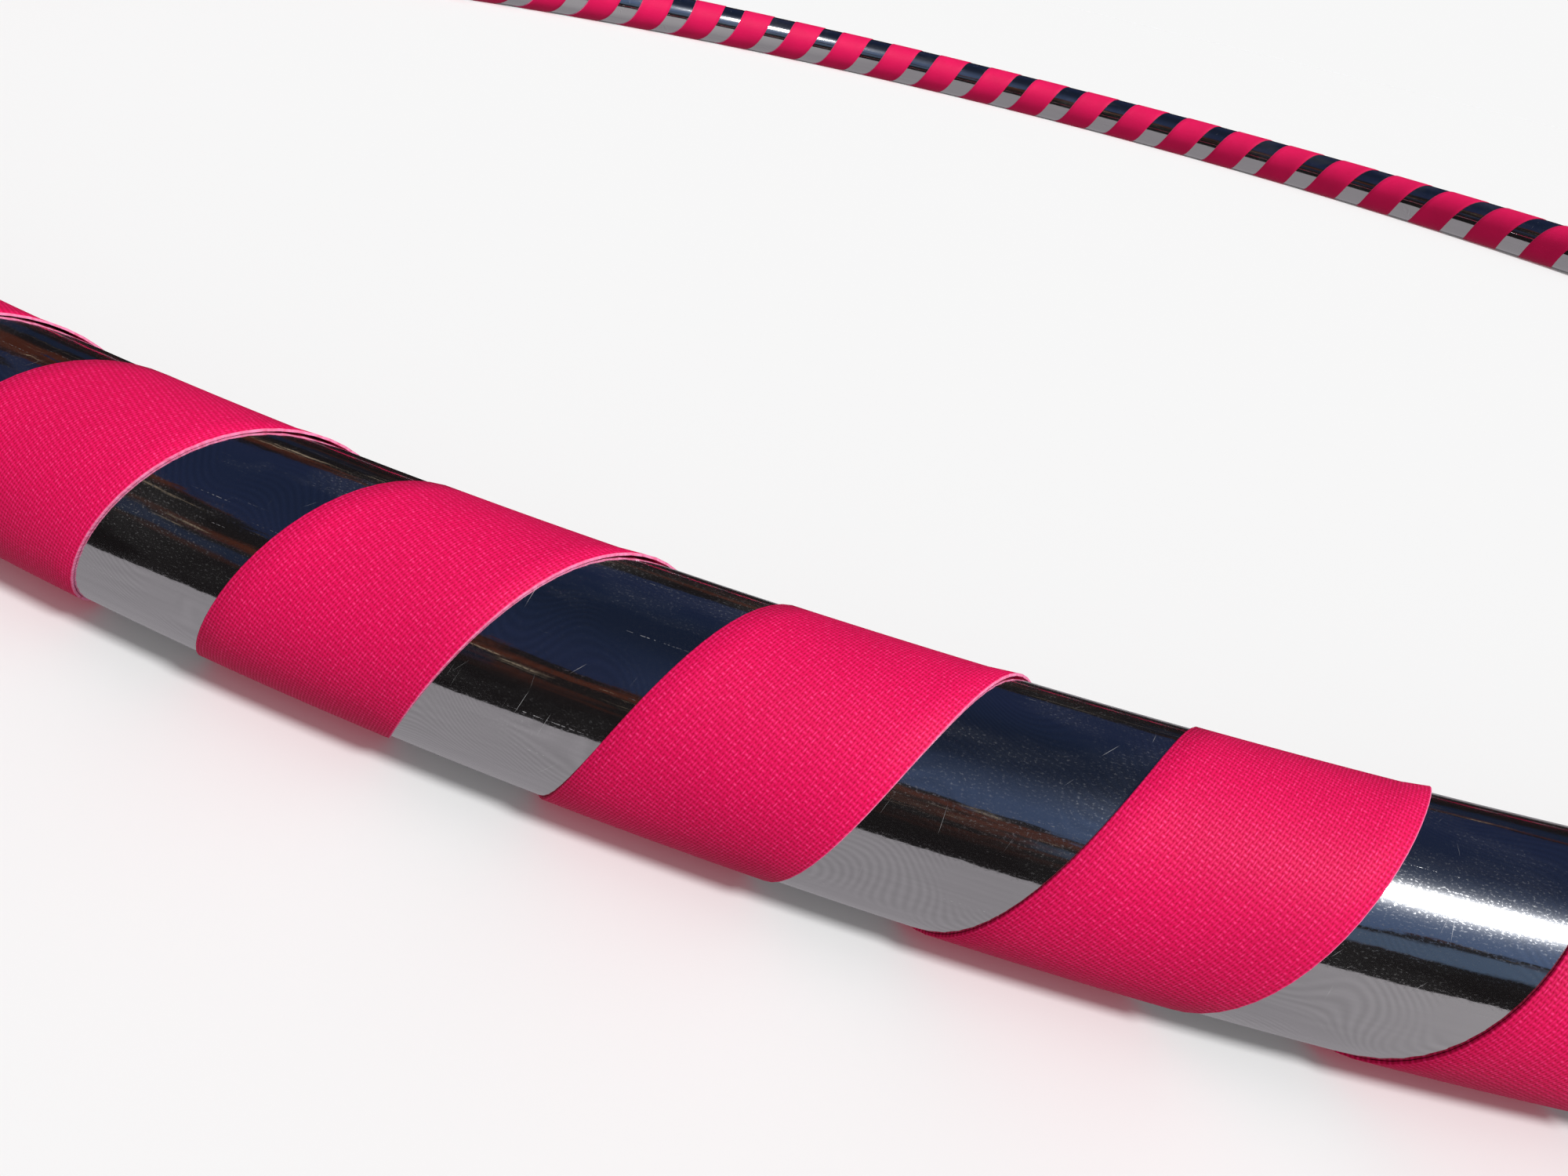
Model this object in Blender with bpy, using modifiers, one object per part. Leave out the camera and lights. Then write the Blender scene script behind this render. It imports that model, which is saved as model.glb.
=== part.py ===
"""Taped dance hoop: a bent plastic tube whose two ends meet on an inner sleeve with a push button.

The hoop lies flat on the floor, centred on the Z axis, with its lowest face at Z = 0. The joint
between the tube's ends is at +X. A mirror film and a cloth grip tape are wound round the tube.
"""
import math

import bmesh
import bpy
from mathutils import Matrix, Vector

MM = 0.001

# Driving dimensions, in metres
HOOP_DIAMETER = 950 * MM        # outside, over the grip tape
TAPED_DIAMETER = 25.7 * MM      # the tube's section, over the grip tape
TURNS = 75                      # turns of tape round the whole hoop
GRIP_WIDTH = 20.4 * MM          # of the cloth tape, square to its edges
GRIP_THICKNESS = 0.28 * MM
MIRROR_WIDTH = 19.0 * MM        # of the mirror film, square to its edges
MIRROR_THICKNESS = 0.08 * MM
MIRROR_DEPTH = 0.44 * MM        # from the outside of the grip tape to the outside of the film
TUBE_DEPTH = 0.80 * MM          # from the outside of the grip tape to the outside of the tube
TUBE_WALL = 2.3 * MM
GRIP_PHASE = math.radians(3.10)  # from the joint to an edge of the grip tape, on the outer side
SEAM_GAP = 0.3 * MM             # between the tube's two ends
TAPE_SETBACK = 0.4 * MM         # from a tube end to the trimmed end of each tape
CLEARANCE = 0.3 * MM            # between pieces that touch

# The section and the ring are drawn with flat facets, whose middles touch the true round surface
SECTION_SIDES = 12
RING_STEPS = 96

# Connector
INSERT_WALL = 2.0 * MM
INSERT_PLAY = 0.35 * MM         # all round, inside the tube
INSERT_STEPS = 4                # of the ring's steps
BUTTON_RADIUS = 4.0 * MM
BUTTON_PROUD = 1.0 * MM         # above the grip tape
BUTTON_DOME = 0.7 * MM
STUB_RADIUS = 1.5 * MM
STUB_HEAD_RADIUS = 2.4 * MM
STUB_HEAD_HEIGHT = 0.5 * MM
SPRING_WIDTH = 6.0 * MM
SPRING_THICKNESS = 0.5 * MM
SPRING_LENGTH = 29.0 * MM       # from the button to the hairpin bend
SPRING_TOE = 4.6 * MM           # of each leaf, past the button
SPRING_BEND = 1.6 * MM          # radius of the hairpin
SPRING_LIMIT = 6.3 * MM         # from the bore's centreline to a leaf's outer face
SPRING_DROP = 0.5 * MM          # of the upper leaf below that limit
RIVET_RADIUS = 1.6 * MM
RIVET_BORE = 1.0 * MM
RIVET_HEAD_RADIUS = 3.0 * MM
RIVET_HEAD_HEIGHT = 1.0 * MM
RIVET_BULB_RADIUS = 2.4 * MM
RIVET_BULB_HEIGHT = 2.5 * MM
MANDREL_RADIUS = 0.7 * MM
MANDREL_HEAD_RADIUS = 1.3 * MM
MANDREL_HEAD_HEIGHT = 0.9 * MM
TURNED_STEPS = 24

# Worked out from the dimensions above
TAPED_RADIUS = TAPED_DIAMETER / 2
RING_RADIUS = HOOP_DIAMETER / 2 - TAPED_RADIUS
SIDE = 2 * math.pi / SECTION_SIDES
FLATTEN = math.cos(SIDE / 2)                 # a facet's middle is this share of its corners' radius
TURN = 2 * math.pi / TURNS                   # of the ring, for one turn of tape
LEAD = math.atan2(RING_RADIUS * TURN, 2 * math.pi * TAPED_RADIUS)
GRIP_SHARE = GRIP_WIDTH / math.cos(LEAD) / (RING_RADIUS * TURN)
MIRROR_SHARE = MIRROR_WIDTH / math.cos(LEAD) / (RING_RADIUS * TURN)
GRIP_CENTRE = GRIP_PHASE + GRIP_SHARE / 2 * TURN
MIRROR_CENTRE = GRIP_CENTRE - TURN / 2       # half a turn from the grip tape, in its gap
TUBE_OUTSIDE = TAPED_RADIUS - TUBE_DEPTH
TUBE_INSIDE = TUBE_OUTSIDE - TUBE_WALL
INSERT_OUTSIDE = TUBE_INSIDE - INSERT_PLAY
INSERT_INSIDE = INSERT_OUTSIDE - INSERT_WALL
SEAM_ANGLE = SEAM_GAP / RING_RADIUS
RING_STEP = (2 * math.pi - SEAM_ANGLE) / RING_STEPS
INSERT_ANGLE = INSERT_STEPS * RING_STEP + SEAM_ANGLE
BUTTON_ANGLE = MIRROR_CENTRE + TURN / 4      # the middle of the mirror band, on top
RIVET_ANGLE = -BUTTON_ANGLE
SPRING_TOP = SPRING_LIMIT - SPRING_DROP
CUT_TOP = TAPED_RADIUS + BUTTON_PROUD        # cutters for round holes reach this far up


def remove_everything():
    for item in list(bpy.data.objects):
        bpy.data.objects.remove(item, do_unlink=True)


def new_collection(name):
    collection = bpy.data.collections.new(name)
    bpy.context.scene.collection.children.link(collection)
    return collection


def new_material(name, colour, roughness, metallic=0.0):
    material = bpy.data.materials.new(name)
    material.use_nodes = True
    shader = material.node_tree.nodes["Principled BSDF"]
    shader.inputs["Base Color"].default_value = (*colour, 1.0)
    shader.inputs["Roughness"].default_value = roughness
    shader.inputs["Metallic"].default_value = metallic
    return material


def new_object(name, bm, collection, material=None):
    mesh = bpy.data.meshes.new(name)
    bm.to_mesh(mesh)
    bm.free()
    item = bpy.data.objects.new(name, mesh)
    if material:
        mesh.materials.append(material)
    collection.objects.link(item)
    return item


def at_ring(angle):
    """A frame on the tube's centreline: X away from the hoop's centre, Z up."""
    place = Vector((RING_RADIUS, 0, TAPED_RADIUS))
    return Matrix.Rotation(angle, 4, "Z") @ Matrix.Translation(place)


def facet_radius(radius, around):
    """Distance from the centreline to the faceted section drawn round a circle of that radius."""
    from_corner = (around - SIDE / 2) % SIDE
    return radius / math.cos(from_corner - SIDE / 2)


def on_section(along, around, radius):
    """A point on the bent tube's faceted surface, at an angle along the ring and one around it."""
    reach = facet_radius(radius, around)
    out = RING_RADIUS + reach * math.cos(around)
    up = TAPED_RADIUS + reach * math.sin(around)
    return Vector((out * math.cos(along), out * math.sin(along), up))


def shade_smooth(item, angle=40):
    item.data.shade_smooth()
    item.data.set_sharp_from_angle(angle=math.radians(angle))


def add_solidify(item, thickness):
    modifier = item.modifiers.new("thickness", "SOLIDIFY")
    modifier.thickness = thickness
    modifier.offset = -1
    modifier.use_even_offset = True
    modifier.use_rim = True


def add_screw(item, steps, angle=2 * math.pi, closed=True):
    modifier = item.modifiers.new("turn", "SCREW")
    modifier.axis = "Z"
    modifier.angle = angle
    modifier.steps = steps
    modifier.render_steps = steps
    modifier.use_merge_vertices = closed
    modifier.merge_threshold = 0.00001
    modifier.use_normal_calculate = False
    modifier.use_smooth_shade = True


def bent_pipe(name, outside, wall, angle, steps, collection, material):
    """A faceted pipe bent to the ring, through that angle from +X. outside is to its flats."""
    bm = bmesh.new()
    bmesh.ops.create_circle(bm, segments=SECTION_SIDES, radius=outside / FLATTEN)
    turn_corners = Matrix.Rotation(SIDE / 2, 4, "Z")
    stand_up = Matrix.Rotation(math.pi / 2, 4, "X")
    place = Matrix.Translation((RING_RADIUS, 0, TAPED_RADIUS))
    bmesh.ops.transform(bm, matrix=place @ stand_up @ turn_corners, verts=bm.verts)
    item = new_object(name, bm, collection, material)
    add_screw(item, steps, angle, closed=False)
    add_solidify(item, wall)
    return item


def turned(name, profile, frame, collection, material):
    """A solid of revolution about its frame's Z, from (radius, height) points from top to bottom."""
    bm = bmesh.new()
    points = [bm.verts.new((radius, 0, height)) for radius, height in profile]
    for first, second in zip(points, points[1:]):
        bm.edges.new((first, second))
    if profile[0][0] > 0:
        bm.edges.new((points[-1], points[0]))
    item = new_object(name, bm, collection, material)
    item.matrix_world = frame
    add_screw(item, TURNED_STEPS)
    return item


def cutter(name, profile, frame, collection):
    item = turned(name, profile, frame, collection, None)
    item.hide_render = True
    item.display_type = "WIRE"
    return item


def cut(item, tool):
    modifier = item.modifiers.new("hole", "BOOLEAN")
    modifier.operation = "DIFFERENCE"
    modifier.solver = "EXACT"
    modifier.object = tool


def plug_profile(radius, low, high):
    """A plain cylinder."""
    return [(0, high), (radius, high), (radius, low), (0, low)]


def wound_tape(name, radius, thickness, share, centre, collection, material):
    """A tape wound round the tube in a left-handed spiral and trimmed at the joint.

    It starts as a flat strip whose X is the angle along the ring and whose Y is the angle around
    the tube. Its ends are cut off square to the tube, and the strip is then wrapped.
    """
    first_turn = -2
    cells = (TURNS + 4) * SECTION_SIDES
    bm = bmesh.new()
    bmesh.ops.create_grid(bm, x_segments=cells, y_segments=1, size=0.5)
    for vert in bm.verts:
        turns = first_turn + (vert.co.x + 0.5) * cells / SECTION_SIDES
        around = turns * 2 * math.pi + SIDE / 2
        along = centre + (around / (2 * math.pi) + vert.co.y * share) * TURN
        vert.co = (along, around, 0)
    trim = (SEAM_GAP / 2 + TAPE_SETBACK) / RING_RADIUS
    for place, direction in ((trim, -1), (2 * math.pi - trim, 1)):
        bmesh.ops.bisect_plane(
            bm,
            geom=bm.verts[:] + bm.edges[:] + bm.faces[:],
            plane_co=(place, 0, 0),
            plane_no=(direction, 0, 0),
            clear_outer=True,
        )
    for vert in bm.verts:
        vert.co = on_section(vert.co.x, vert.co.y, radius)
    bmesh.ops.triangulate(bm, faces=bm.faces[:])
    bmesh.ops.reverse_faces(bm, faces=bm.faces[:])
    item = new_object(name, bm, collection, material)
    add_solidify(item, thickness)
    shade_smooth(item)
    return item


def hoop_tube(parts, cutters):
    black = new_material("tube_polyethylene", (0.05, 0.05, 0.055), 0.45)
    angle = 2 * math.pi - SEAM_ANGLE
    tube = bent_pipe("hoop_tube", TUBE_OUTSIDE, TUBE_WALL, angle, RING_STEPS, parts, black)
    tube.rotation_euler.z = SEAM_ANGLE / 2
    hole = plug_profile(BUTTON_RADIUS + CLEARANCE, 0, CUT_TOP)
    cut(tube, cutter("tube_button_hole", hole, at_ring(BUTTON_ANGLE), cutters))
    low = TUBE_OUTSIDE - RIVET_HEAD_HEIGHT
    shank = RIVET_RADIUS + CLEARANCE
    head = RIVET_HEAD_RADIUS + CLEARANCE
    rise = CLEARANCE                     # the countersink runs on past the tube's outside
    flare = (head - shank) / RIVET_HEAD_HEIGHT * rise
    sunk = [
        (0, TUBE_OUTSIDE + rise),
        (head + flare, TUBE_OUTSIDE + rise),
        (shank, low),
        (shank, 0),
        (0, 0),
    ]
    cut(tube, cutter("tube_rivet_hole", sunk, at_ring(RIVET_ANGLE), cutters))


def connector_insert(parts, cutters):
    white = new_material("insert_polyethylene", (0.75, 0.75, 0.73), 0.4)
    insert = bent_pipe("connector_insert", INSERT_OUTSIDE, INSERT_WALL, INSERT_ANGLE,
                       INSERT_STEPS, parts, white)
    insert.rotation_euler.z = -INSERT_ANGLE / 2
    hole = plug_profile(BUTTON_RADIUS + CLEARANCE, 0, CUT_TOP)
    cut(insert, cutter("insert_button_hole", hole, at_ring(BUTTON_ANGLE), cutters))
    hole = plug_profile(RIVET_RADIUS + CLEARANCE, 0, CUT_TOP)
    cut(insert, cutter("insert_rivet_hole", hole, at_ring(RIVET_ANGLE), cutters))


def rivet(parts):
    """A countersunk blind rivet: a flared sleeve, and the broken mandrel that spread it."""
    aluminium = new_material("rivet_aluminium", (0.8, 0.8, 0.8), 0.35, 1.0)
    steel = new_material("mandrel_steel", (0.45, 0.45, 0.46), 0.4, 1.0)
    bulb_top = INSERT_INSIDE - CLEARANCE
    bulb_low = bulb_top - RIVET_BULB_HEIGHT
    sleeve = [
        (RIVET_HEAD_RADIUS, TUBE_OUTSIDE),
        (RIVET_RADIUS, TUBE_OUTSIDE - RIVET_HEAD_HEIGHT),
        (RIVET_RADIUS, bulb_top),
        (RIVET_BULB_RADIUS, bulb_top),
        (RIVET_BULB_RADIUS, bulb_low),
        (RIVET_BORE, bulb_low),
        (RIVET_BORE, TUBE_OUTSIDE),
    ]
    shade_smooth(turned("rivet_sleeve", sleeve, at_ring(RIVET_ANGLE), parts, aluminium))
    head_top = bulb_low - CLEARANCE
    mandrel = [
        (0, TUBE_OUTSIDE - CLEARANCE),
        (MANDREL_RADIUS, TUBE_OUTSIDE - CLEARANCE),
        (MANDREL_RADIUS, head_top),
        (MANDREL_HEAD_RADIUS, head_top),
        (MANDREL_HEAD_RADIUS, head_top - MANDREL_HEAD_HEIGHT),
        (0, head_top - MANDREL_HEAD_HEIGHT),
    ]
    shade_smooth(turned("rivet_mandrel", mandrel, at_ring(RIVET_ANGLE), parts, steel))


def snap_button(parts):
    """The button that locks the joint, with the stub that rivets it to its spring."""
    nickel = new_material("button_nickel", (0.7, 0.7, 0.72), 0.25, 1.0)
    top = TAPED_RADIUS + BUTTON_PROUD
    base = SPRING_TOP + CLEARANCE
    stub_low = SPRING_TOP - SPRING_THICKNESS - CLEARANCE
    dome = []
    for step in range(5):
        lean = step / 4 * math.pi / 2
        rim = BUTTON_RADIUS - BUTTON_DOME
        dome.append((rim + BUTTON_DOME * math.sin(lean), top - BUTTON_DOME * (1 - math.cos(lean))))
    profile = [(0, top)] + dome + [
        (BUTTON_RADIUS, base),
        (STUB_RADIUS, base),
        (STUB_RADIUS, stub_low),
        (STUB_HEAD_RADIUS, stub_low),
        (STUB_HEAD_RADIUS, stub_low - STUB_HEAD_HEIGHT),
        (0, stub_low - STUB_HEAD_HEIGHT),
    ]
    shade_smooth(turned("snap_button", profile, at_ring(BUTTON_ANGLE), parts, nickel))


def button_spring(parts, cutters):
    """A leaf spring bent to a V: its lower leaf lies in the bore and its upper leaf lifts the button."""
    steel = new_material("spring_steel", (0.55, 0.56, 0.58), 0.3, 1.0)
    half = SPRING_THICKNESS / 2
    low = -SPRING_LIMIT + half
    high = SPRING_TOP - half
    bend_steps = 8
    path = [(-SPRING_TOE, high), (SPRING_TOE, high)]
    for step in range(bend_steps + 1):
        lean = math.pi / 2 - step / bend_steps * math.pi
        path.append((SPRING_LENGTH + SPRING_BEND * math.cos(lean),
                     low + SPRING_BEND + SPRING_BEND * math.sin(lean)))
    path.append((-SPRING_TOE, low))
    bm = bmesh.new()
    rows = []
    for side in (-SPRING_WIDTH / 2, SPRING_WIDTH / 2):
        rows.append([bm.verts.new((side, reach, height)) for reach, height in path])
    for index in range(len(path) - 1):
        bm.faces.new((rows[0][index], rows[1][index], rows[1][index + 1], rows[0][index + 1]))
    spring = new_object("button_spring", bm, parts, steel)
    half_span = SPRING_LENGTH / RING_RADIUS / 2
    spring.matrix_world = at_ring(BUTTON_ANGLE) @ Matrix.Rotation(half_span, 4, "Z")
    add_solidify(spring, SPRING_THICKNESS)
    spring.modifiers["thickness"].offset = 0
    hole = plug_profile(STUB_RADIUS + CLEARANCE, 0, CUT_TOP)
    cut(spring, cutter("spring_stub_hole", hole, at_ring(BUTTON_ANGLE), cutters))


def tapes(parts, cutters):
    mirror = new_material("mirror_film", (0.8, 0.8, 0.82), 0.08, 1.0)
    pink = new_material("grip_cloth", (0.72, 0.02, 0.11), 0.6)
    film = wound_tape("mirror_tape", TAPED_RADIUS - MIRROR_DEPTH, MIRROR_THICKNESS,
                      MIRROR_SHARE, MIRROR_CENTRE, parts, mirror)
    hole = plug_profile(BUTTON_RADIUS + 2 * CLEARANCE, 0, CUT_TOP)
    cut(film, cutter("film_button_hole", hole, at_ring(BUTTON_ANGLE), cutters))
    wound_tape("grip_tape", TAPED_RADIUS, GRIP_THICKNESS, GRIP_SHARE, GRIP_CENTRE, parts, pink)


remove_everything()
part_collection = new_collection("taped_hoop")
cutter_collection = new_collection("cutters")
hoop_tube(part_collection, cutter_collection)
connector_insert(part_collection, cutter_collection)
rivet(part_collection)
snap_button(part_collection)
button_spring(part_collection, cutter_collection)
tapes(part_collection, cutter_collection)
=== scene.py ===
"""Looks of the taped dance hoop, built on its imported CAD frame.

Metres, +Z up. The hoop lies flat, centred on the Z axis, with its lowest point at Z = 0 and the joint
between the tube's ends at +X. A mirror film and a cloth grip tape are wound round the tube in
left-handed spirals, each in the gaps that the other leaves.
"""
import math

import bmesh
import bpy
from mathutils import Matrix, Vector


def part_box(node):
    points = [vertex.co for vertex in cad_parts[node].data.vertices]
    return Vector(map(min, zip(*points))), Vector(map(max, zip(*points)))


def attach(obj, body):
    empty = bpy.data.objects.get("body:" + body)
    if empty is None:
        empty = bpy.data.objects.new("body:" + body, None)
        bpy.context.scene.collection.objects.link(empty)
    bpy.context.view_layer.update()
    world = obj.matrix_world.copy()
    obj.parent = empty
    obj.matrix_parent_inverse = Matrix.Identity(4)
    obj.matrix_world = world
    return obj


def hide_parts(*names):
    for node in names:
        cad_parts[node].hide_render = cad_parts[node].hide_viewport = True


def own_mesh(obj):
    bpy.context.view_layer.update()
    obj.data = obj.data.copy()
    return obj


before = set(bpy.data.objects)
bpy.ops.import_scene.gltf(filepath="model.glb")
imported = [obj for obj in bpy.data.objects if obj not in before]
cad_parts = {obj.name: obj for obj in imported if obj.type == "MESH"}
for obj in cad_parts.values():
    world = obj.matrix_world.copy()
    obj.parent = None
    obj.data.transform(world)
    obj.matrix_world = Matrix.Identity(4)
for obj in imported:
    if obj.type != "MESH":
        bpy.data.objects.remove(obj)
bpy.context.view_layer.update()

MM = 0.001
FULL = 2 * math.pi
MERGE = 0.001 * MM                      # points closer than this become one
SLIVER = 0.0001 * MM                    # edges shorter than this are dissolved

# The ring, from the frame
grip_low, grip_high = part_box("grip_tape")
TAPED_RADIUS = (grip_high.z - grip_low.z) / 2
RING_RADIUS = grip_high.y - TAPED_RADIUS

# The tapes, as in the CAD model
TURNS = 75
TURN = FULL / TURNS                     # of the ring, for one turn of tape
PITCH = RING_RADIUS * TURN
LEAD = math.atan2(PITCH, FULL * TAPED_RADIUS)
DOWN_TUBE = 90 - math.degrees(LEAD)     # the tube's direction on a strip laid flat, in degrees
GRIP_WIDTH = 20.4 * MM
GRIP_THICKNESS = 0.28 * MM
GRIP_CORNER = 0.06 * MM
GRIP_PHASE = math.radians(3.10)
GRIP_CENTRE = GRIP_PHASE + GRIP_WIDTH / math.cos(LEAD) / RING_RADIUS / 2
FILM_WIDTH = 19.0 * MM
FILM_THICKNESS = 0.08 * MM
FILM_CORNER = 0.02 * MM
FILM_DEPTH = 0.31 * MM                  # from the outside of the grip tape to the film's
FILM_CENTRE = GRIP_CENTRE - TURN / 2
SEAM_GAP = 0.3 * MM
TAPE_SETBACK = 0.4 * MM

# How the hand-wound strips stray along the tube: (distance, turns between repeats, shift)
GRIP_WAVES = ((0.45 * MM, 1.9, 3.11), (0.24 * MM, 3.6, 2.5), (0.2 * MM, 1.3, -0.17))
FILM_WAVES = ((0.25 * MM, 9.1, 2.0), (0.15 * MM, 3.7, 0.3))

# The edge of the grip tape that lifts a little on the upper inner side of the ring
CURL_LIFT = 0.42 * MM
CURL_WIDTH = 2.5 * MM
CURL_START = math.radians(60)           # round the tube from the outer side, where the lift begins

# The tube and its joint, as in the CAD model
TUBE_OUTSIDE = TAPED_RADIUS - 0.80 * MM
TUBE_WALL = 2.3 * MM
INSERT_OUTSIDE = TUBE_OUTSIDE - TUBE_WALL - 0.35 * MM
INSERT_WALL = 2.0 * MM
INSERT_ANGLE = math.radians(15)
BUTTON_ANGLE = FILM_CENTRE + TURN / 4
BUTTON_RADIUS = 4.0 * MM
BUTTON_TOP = TAPED_RADIUS + 1.0 * MM
HOLE_PLAY = 0.3 * MM
HOLE_LOW = 3.0 * MM                     # above the centreline, where the holes' cutters stop
RIVET_ANGLE = -BUTTON_ANGLE
RIVET_SHANK = 1.9 * MM                  # radius
SPRING_LIMIT = 6.3 * MM                 # below the centreline
SPRING_TOP = 5.8 * MM                   # above the centreline
SPRING_THICKNESS = 0.5 * MM


# ---------------------------------------------------------------- shapes

def ring_point(along, around, radius):
    """A point on the bent tube, at an angle along the ring and one around the tube."""
    out = RING_RADIUS + radius * math.cos(around)
    up = TAPED_RADIUS + radius * math.sin(around)
    return Vector((out * math.cos(along), out * math.sin(along), up))


def at_ring(angle):
    """A frame on the tube's centreline: X away from the hoop's centre, Z up."""
    return Matrix.Rotation(angle, 4, "Z") @ Matrix.Translation((RING_RADIUS, 0, TAPED_RADIUS))


def new_object(name, bm, smooth_angle=40):
    """An object made of the bmesh, with edges sharper than that many degrees kept sharp."""
    bmesh.ops.recalc_face_normals(bm, faces=bm.faces[:])
    mesh = bpy.data.meshes.new(name)
    bm.to_mesh(mesh)
    bm.free()
    mesh.shade_smooth()
    mesh.set_sharp_from_angle(angle=math.radians(smooth_angle))
    item = bpy.data.objects.new(name, mesh)
    bpy.context.scene.collection.objects.link(item)
    return item


def cut(item, tools, smooth_angle=30):
    """Applies the item's modifiers, if it has any, and takes the tools out of it."""
    for tool in tools:
        modifier = item.modifiers.new("hole", "BOOLEAN")
        modifier.operation = "DIFFERENCE"
        modifier.solver = "EXACT"
        modifier.object = tool
    bpy.context.view_layer.update()
    graph = bpy.context.evaluated_depsgraph_get()
    mesh = bpy.data.meshes.new_from_object(item.evaluated_get(graph))
    mesh.set_sharp_from_angle(angle=math.radians(smooth_angle))
    item.modifiers.clear()
    item.data = mesh
    for tool in tools:
        bpy.data.objects.remove(tool, do_unlink=True)


def turned(name, profile, place, steps=64):
    """A solid of revolution about its place's Z, from (radius, height) points."""
    bm = bmesh.new()
    points = [bm.verts.new((radius, 0, height)) for radius, height in profile]
    edges = [bm.edges.new(pair) for pair in zip(points, points[1:])]
    bmesh.ops.spin(bm, geom=points + edges, cent=(0, 0, 0), axis=(0, 0, 1), angle=FULL, steps=steps)
    bmesh.ops.remove_doubles(bm, verts=bm.verts[:], dist=MERGE)
    bm.transform(place)
    return new_object(name, bm, smooth_angle=35)


def arc(centre_x, centre_y, radius, start, end, steps):
    """Points along an arc, at angles in degrees."""
    points = []
    for step in range(steps + 1):
        angle = math.radians(start + (end - start) * step / steps)
        points.append((centre_x + radius * math.cos(angle), centre_y + radius * math.sin(angle)))
    return points


def drill(radius, angle, low=HOLE_LOW):
    """A round upright cutter at an angle along the ring, from a height above the centreline up."""
    outline = [(0, BUTTON_TOP), (radius, BUTTON_TOP), (radius, low), (0, low)]
    return turned("drill", outline, at_ring(angle), steps=48)


def bent_pipe(name, outside, wall, start, end, steps, sides=48, round_end=0.3 * MM):
    """A pipe bent to the ring between two angles, with its ends' edges broken."""
    inside = outside - wall
    rows = []
    for step in range(steps + 1):
        rows.append((start + (end - start) * step / steps, outside, inside))
    nick = round_end / RING_RADIUS
    rows[0:1] = [(start, outside - round_end, inside + round_end), (start + nick, outside, inside)]
    rows[-1:] = [(end - nick, outside, inside), (end, outside - round_end, inside + round_end)]
    bm = bmesh.new()
    arounds = [FULL * side / sides for side in range(sides)]
    loops = []
    for along, *radii in rows:
        points = [[ring_point(along, around, radius) for around in arounds] for radius in radii]
        loops.append([[bm.verts.new(point) for point in loop] for loop in points])
    for side in range(sides):
        following = (side + 1) % sides
        for surface in (0, 1):
            for first, second in zip(loops, loops[1:]):
                first, second = first[surface], second[surface]
                bm.faces.new((first[side], first[following], second[following], second[side]))
        for outer, inner in (loops[0], loops[-1]):
            bm.faces.new((outer[side], outer[following], inner[following], inner[side]))
    return new_object(name, bm)


def wander(around, waves):
    """How far a hand-wound strip strays along the tube, which fades to nothing at its two ends."""
    turn = around / FULL
    fade = min(1, max(0, turn) / 2, max(0, TURNS - turn) / 2)
    return fade * sum(reach * math.sin(FULL * turn / period + shift) for reach, period, shift in waves)


def wound_strip(name, radius, width, section, centre, waves, lift=0.0, steps_per_turn=48):
    """A strip wound round the tube, with both ends trimmed square to it at the joint.

    section is the strip's outline, as (across, depth below the outer surface) points. One edge of
    the strip rises by up to that lift on the upper inner side of the ring, and not at all on the
    outer side. The UV map holds metres along the strip and across it, so threads follow the strip.
    """
    share = width / math.cos(LEAD) / PITCH
    trim = (SEAM_GAP / 2 + TAPE_SETBACK) / RING_RADIUS
    first = FULL * ((trim - centre) / TURN - share / 2)
    last = FULL * ((FULL - trim - centre) / TURN + share / 2)
    steps = round((last - first) / FULL * steps_per_turn)
    bm = bmesh.new()
    on_strip = bm.verts.layers.float_vector.new("on_strip")
    previous = None
    for step in range(steps + 1):
        around = first + (last - first) * step / steps
        stray = wander(around, waves) / RING_RADIUS
        inner_side = max(0, math.sin(around - CURL_START)) ** 2
        row = []
        for across, depth in section:
            along = centre + (around / FULL + across / width * share) * TURN + stray
            along = min(max(along, trim), FULL - trim)
            curl = max(0, (across - width / 2) / CURL_WIDTH + 1) * inner_side
            vert = bm.verts.new(ring_point(along, around, radius - depth + lift * curl ** 2))
            down_tube = (along - stray - centre) * RING_RADIUS
            round_tube = around * TAPED_RADIUS
            vert[on_strip] = (
                round_tube * math.cos(LEAD) + down_tube * math.sin(LEAD),
                down_tube * math.cos(LEAD) - round_tube * math.sin(LEAD),
                0,
            )
            row.append(vert)
        if previous:
            for side in range(len(row)):
                back = side - 1
                bm.faces.new((previous[back], previous[side], row[side], row[back]))
        previous = row
    bmesh.ops.remove_doubles(bm, verts=bm.verts[:], dist=MERGE)
    bmesh.ops.dissolve_degenerate(bm, dist=SLIVER, edges=bm.edges[:])
    bmesh.ops.holes_fill(bm, edges=bm.edges[:], sides=0)
    tape_map = bm.loops.layers.uv.new("Tape")
    for face in bm.faces:
        for loop in face.loops:
            loop[tape_map].uv = loop.vert[on_strip].xy
    bm.verts.layers.float_vector.remove(on_strip)
    return new_object(name, bm, smooth_angle=50)


def strip_section(width, thickness, corner, inner_columns, columns=8):
    """The outline of a flat strip whose two outer edges are broken by a corner.

    columns and inner_columns are how many points' gaps lie across its outer and its inner face.
    """
    half = width / 2
    flat = half - corner
    outline = [(-flat + 2 * flat * column / columns, 0) for column in range(columns + 1)]
    outline += [(half, corner), (half, thickness)]
    for column in range(1, inner_columns):
        outline.append((half - width * column / inner_columns, thickness))
    return outline + [(-half, thickness), (-half, corner)]


# ---------------------------------------------------------------- shader nodes

def new_material(name):
    material = bpy.data.materials.new(name)
    material.use_nodes = True
    tree = material.node_tree
    return material, tree, tree.nodes["Principled BSDF"]


def is_output(value):
    return isinstance(value, bpy.types.NodeSocket)


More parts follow.
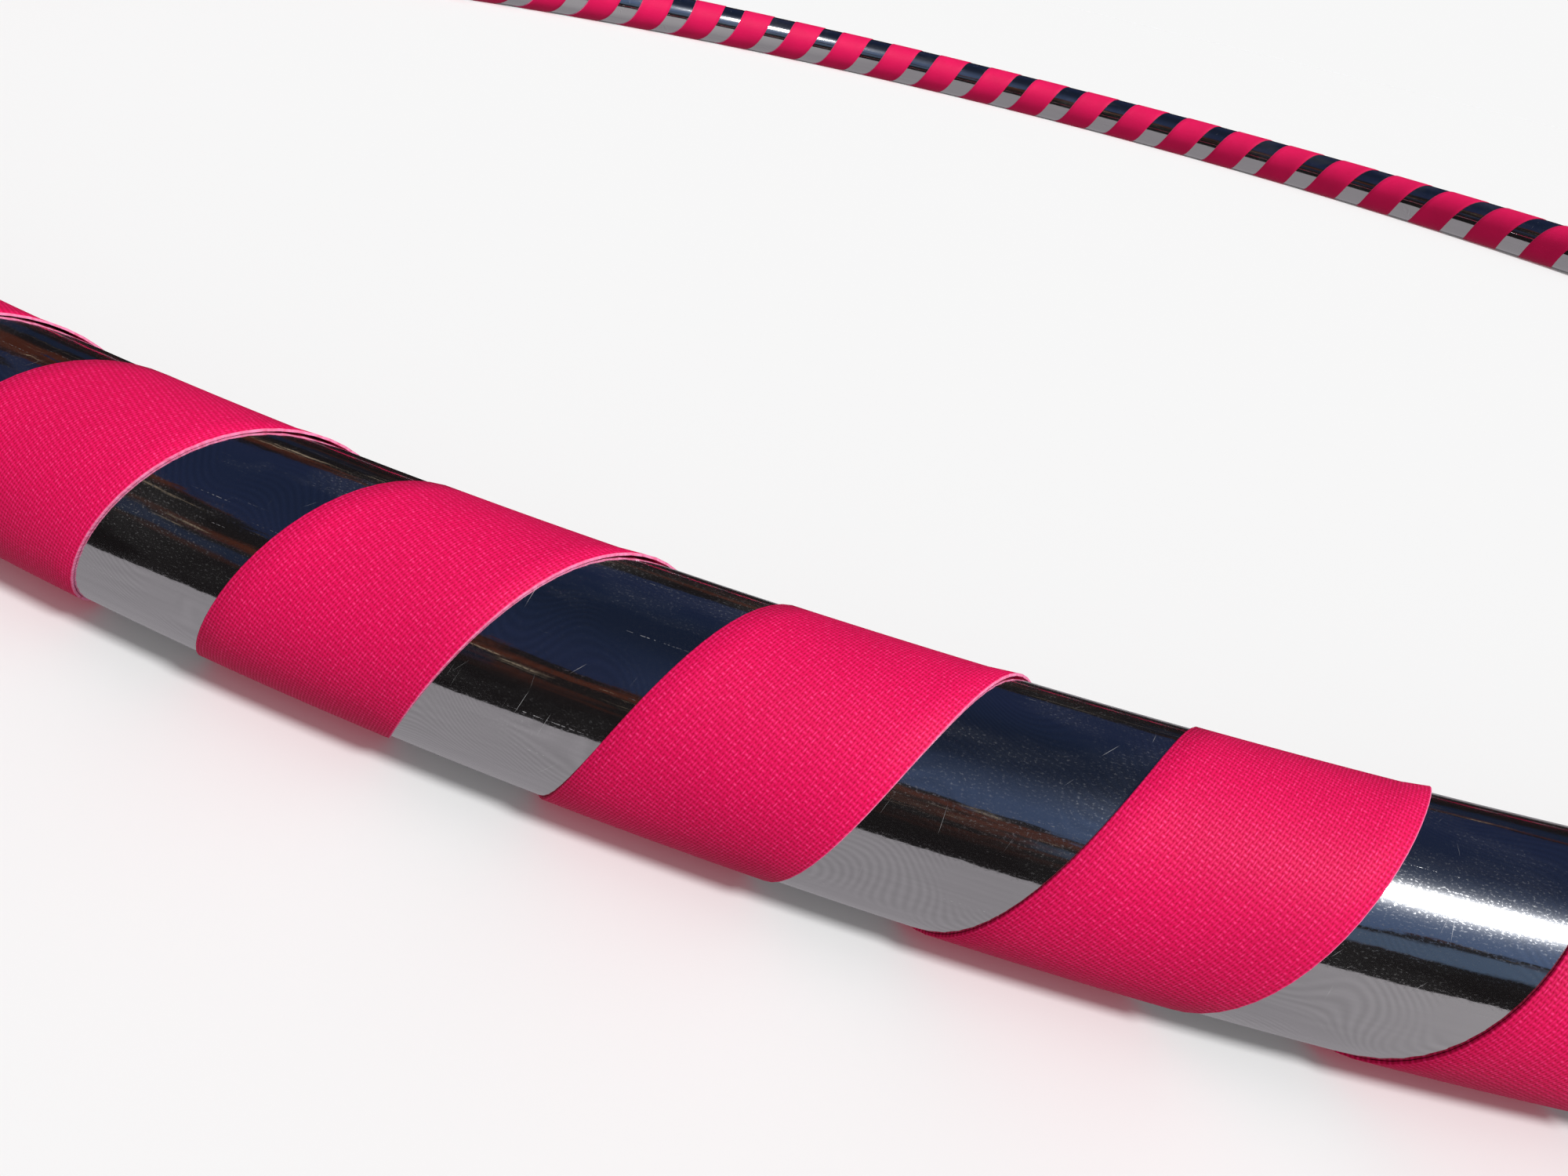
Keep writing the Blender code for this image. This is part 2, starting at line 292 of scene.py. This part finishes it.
def plug(tree, item, inputs):
    """Fills a node's inputs, each from a value or from another node's output."""
    for socket, value in inputs.items():
        if is_output(value):
            tree.links.new(value, item.inputs[socket])
        else:
            item.inputs[socket].default_value = value


def node(tree, kind, inputs=None, **settings):
    item = tree.nodes.new(kind)
    for setting, value in settings.items():
        setattr(item, setting, value)
    plug(tree, item, inputs or {})
    return item


def calc(tree, operation, *values):
    """A Math node's output."""
    return node(tree, "ShaderNodeMath", dict(enumerate(values)), operation=operation).outputs[0]


def vector_calc(tree, operation, *values, output=0):
    """A Vector Math node's output."""
    inputs = dict(enumerate(values))
    return node(tree, "ShaderNodeVectorMath", inputs, operation=operation).outputs[output]


def span(tree, value, start, end=(0.0, 1.0)):
    """A value carried from one range to another, and held inside it."""
    inputs = {0: value, 1: start[0], 2: start[1], 3: end[0], 4: end[1]}
    return node(tree, "ShaderNodeMapRange", inputs).outputs[0]


def blend_colour(tree, factor, first, second, mode="MIX"):
    """Two colours mixed by a factor, each a red, green and blue or another node's output."""
    inputs = {0: factor}
    for socket, colour in ((6, first), (7, second)):
        inputs[socket] = colour if is_output(colour) else (*colour, 1)
    return node(tree, "ShaderNodeMix", inputs, data_type="RGBA", blend_type=mode).outputs[2]


def grey(tree, value):
    """A colour with that value in red, green and blue."""
    return node(tree, "ShaderNodeCombineColor", {0: value, 1: value, 2: value}).outputs[0]


def noise(tree, vector, scale=1.0, detail=2.0, roughness=0.5):
    inputs = {"Vector": vector, "Scale": scale, "Detail": detail, "Roughness": roughness}
    return node(tree, "ShaderNodeTexNoise", inputs).outputs[0]


def stretched(tree, vector, scale, turn=0.0):
    """Coordinates scaled along axes that are turned by that many degrees."""
    reach = tuple(1 / factor for factor in scale)
    inputs = {0: vector, "Rotation": (0, 0, math.radians(turn)), "Scale": reach}
    return node(tree, "ShaderNodeMapping", inputs, vector_type="TEXTURE").outputs[0]


def bump(tree, height, distance, strength, under=None):
    """A normal from a height, over another bump's normal where there is one."""
    inputs = {"Height": height, "Distance": distance, "Strength": strength}
    if under:
        inputs["Normal"] = under
    return node(tree, "ShaderNodeBump", inputs).outputs[0]


# ---------------------------------------------------------------- materials
# Scales of noise are in patches per metre.

def grip_material():
    """Plain-woven cloth: warp threads along the tape ride over and under the weft threads across it. Its
    colour holds painted shade in the weave's hollows and painted highlights and glints on the threads'
    tops.
    """
    warp_spacing = 0.33 * MM
    weft_spacing = 0.54 * MM
    stray = (0.22 * MM, 0.15 * MM, 0)   # how far the threads stray along and across the tape
    crimp = 0.28                        # how far they dip under each other, as a share of their height
    # painted shade: the colour of the weave's hollows, darker where the threads would shade them
    shaded_hollow_pink = (0.47, 0.0, 0.038)
    thread_pink = (0.745, 0.0005, 0.088)
    # painted highlight: the colour of the threads' lit tops
    lit_pink = (0.95, 0.018, 0.178)
    # painted glints: paler highlights on a few thread tops
    glint_pink = (1.0, 0.10, 0.28)
    cut_pink = (0.82, 0.24, 0.42)

    material, tree, shader = new_material("pink_woven_cloth")
    tape = node(tree, "ShaderNodeUVMap", uv_map="Tape").outputs[0]
    uneven = node(tree, "ShaderNodeTexNoise", {"Vector": tape, "Scale": 600.0, "Detail": 2.0}).outputs[1]
    offset = vector_calc(tree, "SUBTRACT", uneven, (0.5, 0.5, 0.5))
    threads = vector_calc(tree, "MULTIPLY_ADD", offset, stray, tape)
    along, across, _ = node(tree, "ShaderNodeSeparateXYZ", {0: threads}).outputs
    weft_wave = calc(tree, "SINE", calc(tree, "MULTIPLY", along, math.pi / weft_spacing))
    warp_wave = calc(tree, "SINE", calc(tree, "MULTIPLY", across, math.pi / warp_spacing))
    over = calc(tree, "MULTIPLY", weft_wave, warp_wave)
    warp_rise = calc(tree, "MULTIPLY_ADD", over, crimp, 1 - crimp)
    weft_rise = calc(tree, "MULTIPLY_ADD", over, -crimp, 1 - crimp)
    warp_top = calc(tree, "MULTIPLY", calc(tree, "ABSOLUTE", warp_wave), warp_rise)
    weft_top = calc(tree, "MULTIPLY", calc(tree, "ABSOLUTE", weft_wave), weft_rise)
    height = calc(tree, "MAXIMUM", warp_top, weft_top)

    crossings = noise(tree, stretched(tree, tape, (1500, 2600, 1)), detail=0.0)
    fibres = noise(tree, stretched(tree, threads, (1500, 9000, 1)))
    mottle = noise(tree, tape, 60.0, 3.0)
    # painted shade: the lower the weave, the darker its colour
    colour = blend_colour(tree, span(tree, height, (0.18, 0.66)), shaded_hollow_pink, thread_pink)
    # painted highlight on the highest threads, stronger on some crossings than on others
    shine = span(tree, crossings, (0.35, 0.65), (0.1, 1.0))
    shine = calc(tree, "MULTIPLY", span(tree, height, (0.65, 1.0)), shine)
    colour = blend_colour(tree, shine, colour, lit_pink)
    # painted glints on the tops of some crossings
    glints = span(tree, height, (0.7, 1.0), (0.0, 0.3))
    glints = calc(tree, "MULTIPLY", span(tree, crossings, (0.58, 0.75)), glints)
    colour = blend_colour(tree, glints, colour, glint_pink)
    shade = span(tree, fibres, (0.3, 0.7), (0.93, 1.07))
    shade = calc(tree, "MULTIPLY", span(tree, mottle, (0.3, 0.7), (0.93, 1.05)), shade)
    colour = blend_colour(tree, 1.0, colour, grey(tree, shade), "MULTIPLY")

    half = GRIP_WIDTH / 2
    _, from_middle, _ = node(tree, "ShaderNodeSeparateXYZ", {0: tape}).outputs
    rim = span(tree, from_middle, (half - 0.12 * MM, half - 0.04 * MM))
    rim = calc(tree, "MULTIPLY", rim, span(tree, fibres, (0.3, 0.6), (0.45, 1.0)))
    woven = bump(tree, height, 0.055 * MM, 0.75)
    plug(tree, shader, {
        "Base Color": blend_colour(tree, rim, colour, cut_pink),
        "Roughness": span(tree, height, (0.2, 1.0), (0.75, 0.5)),
        "Normal": bump(tree, fibres, 0.02 * MM, 0.35, woven),
        "Specular IOR Level": 0.18,
    })
    return material


def film_material():
    """Mirror film: bright aluminium under clear plastic, with fine print lines, haze and scratches."""
    smooth = 0.035                      # roughness where the film is unworn
    scratch_runs = ((-24, 0.0), (14, 3.0), (-8, 7.0))   # degrees from the tape, and the noise's shift
    worn_grey = (0.90, 0.90, 0.90)

    material, tree, shader = new_material("mirror_film")
    tape = node(tree, "ShaderNodeUVMap", uv_map="Tape").outputs[0]
    shifted_tape = vector_calc(tree, "ADD", tape, (0.31, 0.0, 0.0))
    patches = noise(tree, stretched(tree, shifted_tape, (28, 75, 1), DOWN_TUBE), detail=4.0, roughness=0.6)
    dots = noise(tree, stretched(tree, tape, (3000, 5200, 1), DOWN_TUBE), detail=2.0, roughness=0.6)
    haze = span(tree, patches, (0.49, 0.64))
    scuffs = calc(tree, "MULTIPLY", haze, span(tree, dots, (0.58, 0.70)))
    rubs = noise(tree, stretched(tree, tape, (55, 5500, 1), DOWN_TUBE), detail=1.0)
    marks = calc(tree, "MULTIPLY", span(tree, rubs, (0.72, 0.78)), span(tree, dots, (0.50, 0.60)))
    for turn, shift in scratch_runs:
        run = vector_calc(tree, "ADD", stretched(tree, tape, (120, 7000, 1), turn), (shift, shift, shift))
        scratches = span(tree, noise(tree, run, detail=1.0), (0.785, 0.82))
        marks = calc(tree, "MAXIMUM", marks, scratches)
    wear = calc(tree, "MULTIPLY_ADD", scuffs, 0.34, calc(tree, "MULTIPLY", haze, 0.035))
    wear = calc(tree, "MAXIMUM", calc(tree, "MULTIPLY", marks, 0.7), wear)

    inputs = {0: tape, "Scale": 400.0, "Distortion": 60.0, "Detail": 0.0, "Detail Scale": 0.22}
    print_lines = node(tree, "ShaderNodeTexWave", inputs).outputs[1]
    strength = span(tree, noise(tree, shifted_tape, 110.0, 1.0), (0.42, 0.56))
    print_lines = calc(tree, "MULTIPLY", calc(tree, "SUBTRACT", print_lines, 0.5), strength)
    metal = grey(tree, span(tree, print_lines, (-0.5, 0.5), (0.725, 0.84)))
    worn = span(tree, wear, (0.0, 1.0), (smooth, 0.42))
    pitted = span(tree, dots, (0.49, 0.70), (smooth, 0.17))
    ripple = noise(tree, stretched(tree, tape, (60, 140, 1)))
    fine_ripple = noise(tree, stretched(tree, tape, (260, 900, 1), 25), detail=1.0)
    relief = bump(tree, ripple, 0.12 * MM, 0.5)
    relief = bump(tree, fine_ripple, 0.006 * MM, 0.5, relief)
    plug(tree, shader, {
        "Base Color": blend_colour(tree, wear, metal, worn_grey),
        "Roughness": calc(tree, "MAXIMUM", worn, pitted),
        "Metallic": span(tree, wear, (0.0, 1.0), (1.0, 0.55)),
        "Normal": bump(tree, marks, 0.01 * MM, 0.3, relief),
        "Coat Weight": 1.0,
        "Coat IOR": 1.6,
        "Coat Roughness": 0.2,
    })
    return material


def plain_material(name, dark, light, roughness, metallic, scale, relief, lines=(1, 1, 1)):
    """A moulded or rolled surface: two close tones, uneven gloss and a shallow grain.

    scale is the tones' patches per metre. The grain is twelve times finer, and lines stretches it.
    """
    material, tree, shader = new_material(name)
    place = node(tree, "ShaderNodeTexCoord").outputs["Object"]
    tones = noise(tree, place, scale, 4.0, 0.6)
    grain = noise(tree, stretched(tree, place, lines), scale * 12, 3.0, 0.6)
    plug(tree, shader, {
        "Base Color": blend_colour(tree, span(tree, tones, (0.35, 0.65)), dark, light),
        "Roughness": span(tree, grain, (0.3, 0.7), (roughness * 0.8, roughness * 1.25)),
        "Normal": bump(tree, grain, relief, 0.5),
        "Metallic": metallic,
    })
    return material


def paint(item, material):
    item.data.materials.clear()
    item.data.materials.append(material)


# ---------------------------------------------------------------- pieces

def add_piece(item, material, node_name, body="hoop"):
    paint(item, material)
    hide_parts(node_name)
    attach(item, body)


def mirror_film():
    section = strip_section(FILM_WIDTH, FILM_THICKNESS, FILM_CORNER, inner_columns=2)
    outside = TAPED_RADIUS - FILM_DEPTH
    film = wound_strip("mirror_film", outside, FILM_WIDTH, section, FILM_CENTRE, FILM_WAVES)
    cut(film, [drill(BUTTON_RADIUS + 2 * HOLE_PLAY, BUTTON_ANGLE, TUBE_OUTSIDE / 2)])
    add_piece(film, film_material(), "mirror_tape")
    return film


def grip_cloth():
    section = strip_section(GRIP_WIDTH, GRIP_THICKNESS, GRIP_CORNER, inner_columns=3)
    cloth = wound_strip("grip_cloth", TAPED_RADIUS, GRIP_WIDTH, section, GRIP_CENTRE, GRIP_WAVES, CURL_LIFT)
    add_piece(cloth, grip_material(), "grip_tape")
    return cloth


def bent_tube():
    """The black tube, with the button's hole and the rivet's countersunk one."""
    head = 3.3 * MM                     # the rivet's, radius
    above = 0.3 * MM                    # how far the countersink's cutter stands above the tube
    flare = 0.42 * MM                   # by how much its radius there is more than the head's
    depth = 1.0 * MM                    # of the countersink
    seam = SEAM_GAP / RING_RADIUS / 2
    tube = bent_pipe("bent_tube", TUBE_OUTSIDE, TUBE_WALL, seam, FULL - seam, steps=300)
    sunk = [(0, TUBE_OUTSIDE + above), (head + flare, TUBE_OUTSIDE + above),
            (RIVET_SHANK, TUBE_OUTSIDE - depth), (RIVET_SHANK, HOLE_LOW), (0, HOLE_LOW)]
    countersink = turned("countersink", sunk, at_ring(RIVET_ANGLE), steps=48)
    cut(tube, [drill(BUTTON_RADIUS + HOLE_PLAY, BUTTON_ANGLE), countersink])
    black = plain_material("black_polyethylene", (0.03, 0.03, 0.033), (0.045, 0.045, 0.05),
                           roughness=0.42, metallic=0, scale=40, relief=0.03 * MM)
    add_piece(tube, black, "hoop_tube")


def joint_insert():
    """The sleeve inside the joint, with the same two holes."""
    half = INSERT_ANGLE / 2
    insert = bent_pipe("joint_insert", INSERT_OUTSIDE, INSERT_WALL, -half, half, steps=24)
    cut(insert, [drill(BUTTON_RADIUS + HOLE_PLAY, BUTTON_ANGLE), drill(RIVET_SHANK, RIVET_ANGLE)])
    white = plain_material("natural_polyethylene", (0.68, 0.68, 0.65), (0.75, 0.75, 0.73),
                           roughness=0.38, metallic=0, scale=60, relief=0.03 * MM)
    add_piece(insert, white, "connector_insert")


def push_button():
    """The button, and the headed stub under it that the leaf spring is clipped round."""
    crown_radius = 1.5 * MM
    crown_drop = 0.03 * MM              # at that radius
    rim_drop = 0.08 * MM                # where the rounded shoulder begins
    shoulder = 0.9 * MM
    corner = 0.3 * MM
    base = SPRING_TOP + 0.3 * MM
    stub = 1.5 * MM                     # radius
    stub_low = SPRING_TOP - SPRING_THICKNESS - 0.3 * MM
    head = 2.4 * MM                     # radius
    head_corner = 0.2 * MM
    head_low = stub_low - 0.5 * MM
    crown = [(0, BUTTON_TOP), (crown_radius, BUTTON_TOP - crown_drop)]
    centre = (BUTTON_RADIUS - shoulder, BUTTON_TOP - rim_drop - shoulder)
    rounded = arc(*centre, shoulder, start=90, end=0, steps=8)
    foot = [(BUTTON_RADIUS, base + corner), (BUTTON_RADIUS - corner, base), (stub, base)]
    clip = [(stub, stub_low), (head, stub_low), (head, head_low + head_corner),
            (head - head_corner, head_low), (0, head_low)]
    button = turned("push_button", crown + rounded + foot + clip, at_ring(BUTTON_ANGLE))
    nickel = plain_material("worn_nickel", (0.72, 0.70, 0.67), (0.80, 0.79, 0.77),
                            roughness=0.36, metallic=1, scale=300, relief=0.01 * MM)
    add_piece(button, nickel, "snap_button", "button")


def leaf_spring():
    """A strip folded back in a hairpin along the tube, with its upper leg under the button."""
    width = 6.0 * MM
    toe = 4.6 * MM                      # from the button's centre to the strip's ends
    reach = 29.0 * MM                   # from the button's centre to the bend's
    bend = 1.6 * MM                     # radius
    stub_hole = 1.8 * MM                # radius
    low = -SPRING_LIMIT + SPRING_THICKNESS / 2
    high = SPRING_TOP - SPRING_THICKNESS / 2
    hairpin = arc(reach, low + bend, bend, start=90, end=-90, steps=16)
    path = [(-toe, high), (toe, high)] + hairpin + [(-toe, low)]
    bm = bmesh.new()
    left = [bm.verts.new((-width / 2, along, up)) for along, up in path]
    right = [bm.verts.new((width / 2, along, up)) for along, up in path]
    for index in range(len(path) - 1):
        bm.faces.new((left[index], right[index], right[index + 1], left[index + 1]))
    bm.transform(at_ring(BUTTON_ANGLE) @ Matrix.Rotation(reach / RING_RADIUS / 2, 4, "Z"))
    spring = new_object("leaf_spring", bm)
    solid = spring.modifiers.new("thickness", "SOLIDIFY")
    solid.thickness = SPRING_THICKNESS
    solid.offset = 0
    edges = spring.modifiers.new("edges", "BEVEL")
    edges.width = 0.1 * MM
    edges.segments = 2
    edges.limit_method = "ANGLE"
    cut(spring, [drill(stub_hole, BUTTON_ANGLE, 0)])
    steel = plain_material("spring_steel", (0.42, 0.43, 0.46), (0.55, 0.55, 0.57),
                           roughness=0.28, metallic=1, scale=120, relief=0.01 * MM, lines=(1, 8, 1))
    add_piece(spring, steel, "button_spring")
    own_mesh(spring)


def rivet_finish():
    """The blind rivet keeps its CAD shapes."""
    aluminium = plain_material("rivet_aluminium", (0.66, 0.67, 0.68), (0.76, 0.76, 0.77),
                               roughness=0.34, metallic=1, scale=400, relief=0.01 * MM)
    steel = plain_material("mandrel_steel", (0.36, 0.36, 0.37), (0.47, 0.46, 0.46),
                           roughness=0.4, metallic=1, scale=400, relief=0.02 * MM)
    paint(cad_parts["rivet_sleeve"], aluminium)
    paint(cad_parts["rivet_mandrel"], steel)


# ---------------------------------------------------------------- floor, light and camera

def pale_floor():
    """A matt floor, which the mirror film doesn't show and which throws no light up on the hoop."""
    pale = (0.85, 0.85, 0.85, 1)
    bm = bmesh.new()
    bmesh.ops.create_grid(bm, x_segments=1, y_segments=1, size=60)
    floor = new_object("floor", bm)
    material, tree, shader = new_material("pale_floor")
    plug(tree, shader, {"Base Color": pale, "Roughness": 1.0, "Specular IOR Level": 0.0})
    paint(floor, material)
    floor.visible_glossy = False
    floor.visible_diffuse = False


def room_floor(tree, looking, side):
    """An uneven grey floor, paler towards +X."""
    dark = (0.262, 0.246, 0.262)
    light = (0.293, 0.275, 0.293)
    pale = (0.37, 0.35, 0.365)
    uneven = noise(tree, stretched(tree, looking, (9, 9, 24)), detail=4.0)
    floor = blend_colour(tree, span(tree, uneven, (0.3, 0.7)), dark, light)
    return blend_colour(tree, span(tree, side, (0.40, 0.75)), floor, pale)


def room_horizon(tree, looking, side, up, rough, sunward):
    """A dark band with brown patches, pale streaks and, to both sides, a gap that shows the sky."""
    black = (0.009, 0.0075, 0.008)
    brown = (0.060, 0.017, 0.010)
    streak = (0.36, 0.28, 0.20)
    far_from_sun = (0.010, 0.016, 0.036)
    near_sun = (0.070, 0.104, 0.165)
    patches = noise(tree, stretched(tree, looking, (3, 3, 9)), detail=3.0)
    patches = calc(tree, "MULTIPLY", span(tree, patches, (0.50, 0.62)), span(tree, up, (0.05, 0.35)))
    dark = blend_colour(tree, patches, black, brown)
    ridge = calc(tree, "MULTIPLY_ADD", rough, 0.3, up)
    gap = calc(tree, "MULTIPLY", span(tree, ridge, (0.19, 0.22)), span(tree, ridge, (0.37, 0.34)))
    aside = calc(tree, "ABSOLUTE", calc(tree, "ADD", side, 0.12))
    gap = calc(tree, "MULTIPLY", gap, span(tree, aside, (0.30, 0.38)))
    gap_sky = blend_colour(tree, sunward, far_from_sun, near_sun)
    dark = blend_colour(tree, gap, dark, gap_sky)
    streaks = noise(tree, stretched(tree, looking, (9, 9, 40)), detail=3.0)
    streaks = calc(tree, "MULTIPLY", span(tree, streaks, (0.64, 0.72)), span(tree, up, (0.25, 0.38)))
    return blend_colour(tree, streaks, dark, streak)


def room_sky(tree, up, sunward):
    """A deep blue sky, lighter low down towards the sun, and darkest overhead."""
    far_from_sun = (0.0125, 0.0190, 0.050)
    near_sun = (0.072, 0.112, 0.210)
    middle = (0.0082, 0.0148, 0.037)
    overhead = (0.0072, 0.0118, 0.028)
    sky = blend_colour(tree, sunward, far_from_sun, near_sun)
    sky = blend_colour(tree, span(tree, up, (0.70, 0.96)), sky, middle)
    return blend_colour(tree, span(tree, up, (0.90, 1.0)), sky, overhead)


def reflected_room(tree, looking):
    """What the mirror film shows: a grey floor, a dark horizon and a deep blue sky.

    The floor and the sky get lighter towards +X, where the sun is. The dark horizon gets narrower.
    """
    tilt = 0.15
    side, away, up = node(tree, "ShaderNodeSeparateXYZ", {0: looking}).outputs
    sunward = calc(tree, "MULTIPLY", span(tree, side, (-0.3, 0.75)), span(tree, away, (0.1, -0.25)))
    rough = calc(tree, "SUBTRACT", noise(tree, looking, 5.0, 5.0, 0.6), 0.5)
    foot = calc(tree, "MULTIPLY_ADD", side, -tilt, calc(tree, "MULTIPLY_ADD", rough, 0.06, up))
    skyline = calc(tree, "MULTIPLY_ADD", side, tilt, calc(tree, "MULTIPLY_ADD", rough, 0.5, up))
    dark = room_horizon(tree, looking, side, up, rough, sunward)
    above = blend_colour(tree, span(tree, skyline, (0.485, 0.50)), dark, room_sky(tree, up, sunward))
    return blend_colour(tree, span(tree, foot, (-0.262, -0.255)), room_floor(tree, looking, side), above)


def soft_world():
    """Soft even light, with a pale surround for the camera and a dusky room in the reflections."""
    white = (1, 1, 1, 1)
    front = (0.51, -0.81, 0.30)         # where the soft light is strongest
    soft_light = (0.20, 0.62)           # behind, and in front
    surround = 0.933
    world = bpy.data.worlds.new("soft_studio")
    bpy.context.scene.world = world
    world.use_nodes = True
    tree = world.node_tree
    tree.nodes.clear()
    path = node(tree, "ShaderNodeLightPath")
    looking = node(tree, "ShaderNodeTexCoord").outputs["Generated"]
    facing = vector_calc(tree, "DOT_PRODUCT", looking, front, output="Value")
    light = span(tree, facing, (-1.0, 1.0), soft_light)
    shown = node(tree, "ShaderNodeBackground", {0: white, 1: light}).outputs[0]
    mirrored = node(tree, "ShaderNodeBackground", {0: reflected_room(tree, looking)}).outputs[0]
    seen = node(tree, "ShaderNodeBackground", {0: white, 1: surround}).outputs[0]
    for ray, background in (("Is Glossy Ray", mirrored), ("Is Camera Ray", seen)):
        inputs = {0: path.outputs[ray], 1: shown, 2: background}
        shown = node(tree, "ShaderNodeMixShader", inputs).outputs[0]
    node(tree, "ShaderNodeOutputWorld", {0: shown})


def key_light():
    """A soft-edged sun to the right of the camera, which the mirror film shows as a white streak."""
    towards = Vector((0.56, -0.38, 0.74))
    data = bpy.data.lights.new("key", "SUN")
    data.energy = 2.75
    data.angle = math.radians(10)
    key = bpy.data.objects.new("key", data)
    key.rotation_euler = towards.to_track_quat("Z", "Y").to_euler()
    bpy.context.scene.collection.objects.link(key)


def camera():
    """A wide lens close to the near side of the ring, looking down across it and tipped to one side."""
    data = bpy.data.cameras.new("camera")
    data.lens = 27.6
    data.sensor_width = 36
    data.clip_start = 0.005
    view = bpy.data.objects.new("camera", data)
    bpy.context.scene.collection.objects.link(view)
    yaw = Matrix.Rotation(math.radians(7.05), 4, "Z")
    pitch = Matrix.Rotation(math.radians(-27.83), 4, "X")
    roll = Matrix.Rotation(math.radians(-13.87), 4, "Y")
    level = Matrix.Rotation(math.radians(90), 4, "X")
    place = Matrix.Translation((0, -557.4 * MM, TAPED_RADIUS + 66.8 * MM))
    view.matrix_world = place @ yaw @ pitch @ roll @ level
    bpy.context.scene.camera = view


film = mirror_film()
cloth = grip_cloth()
bent_tube()
joint_insert()
push_button()
leaf_spring()
rivet_finish()
pale_floor()
soft_world()
key_light()
camera()
bpy.context.scene.view_settings.view_transform = "Standard"
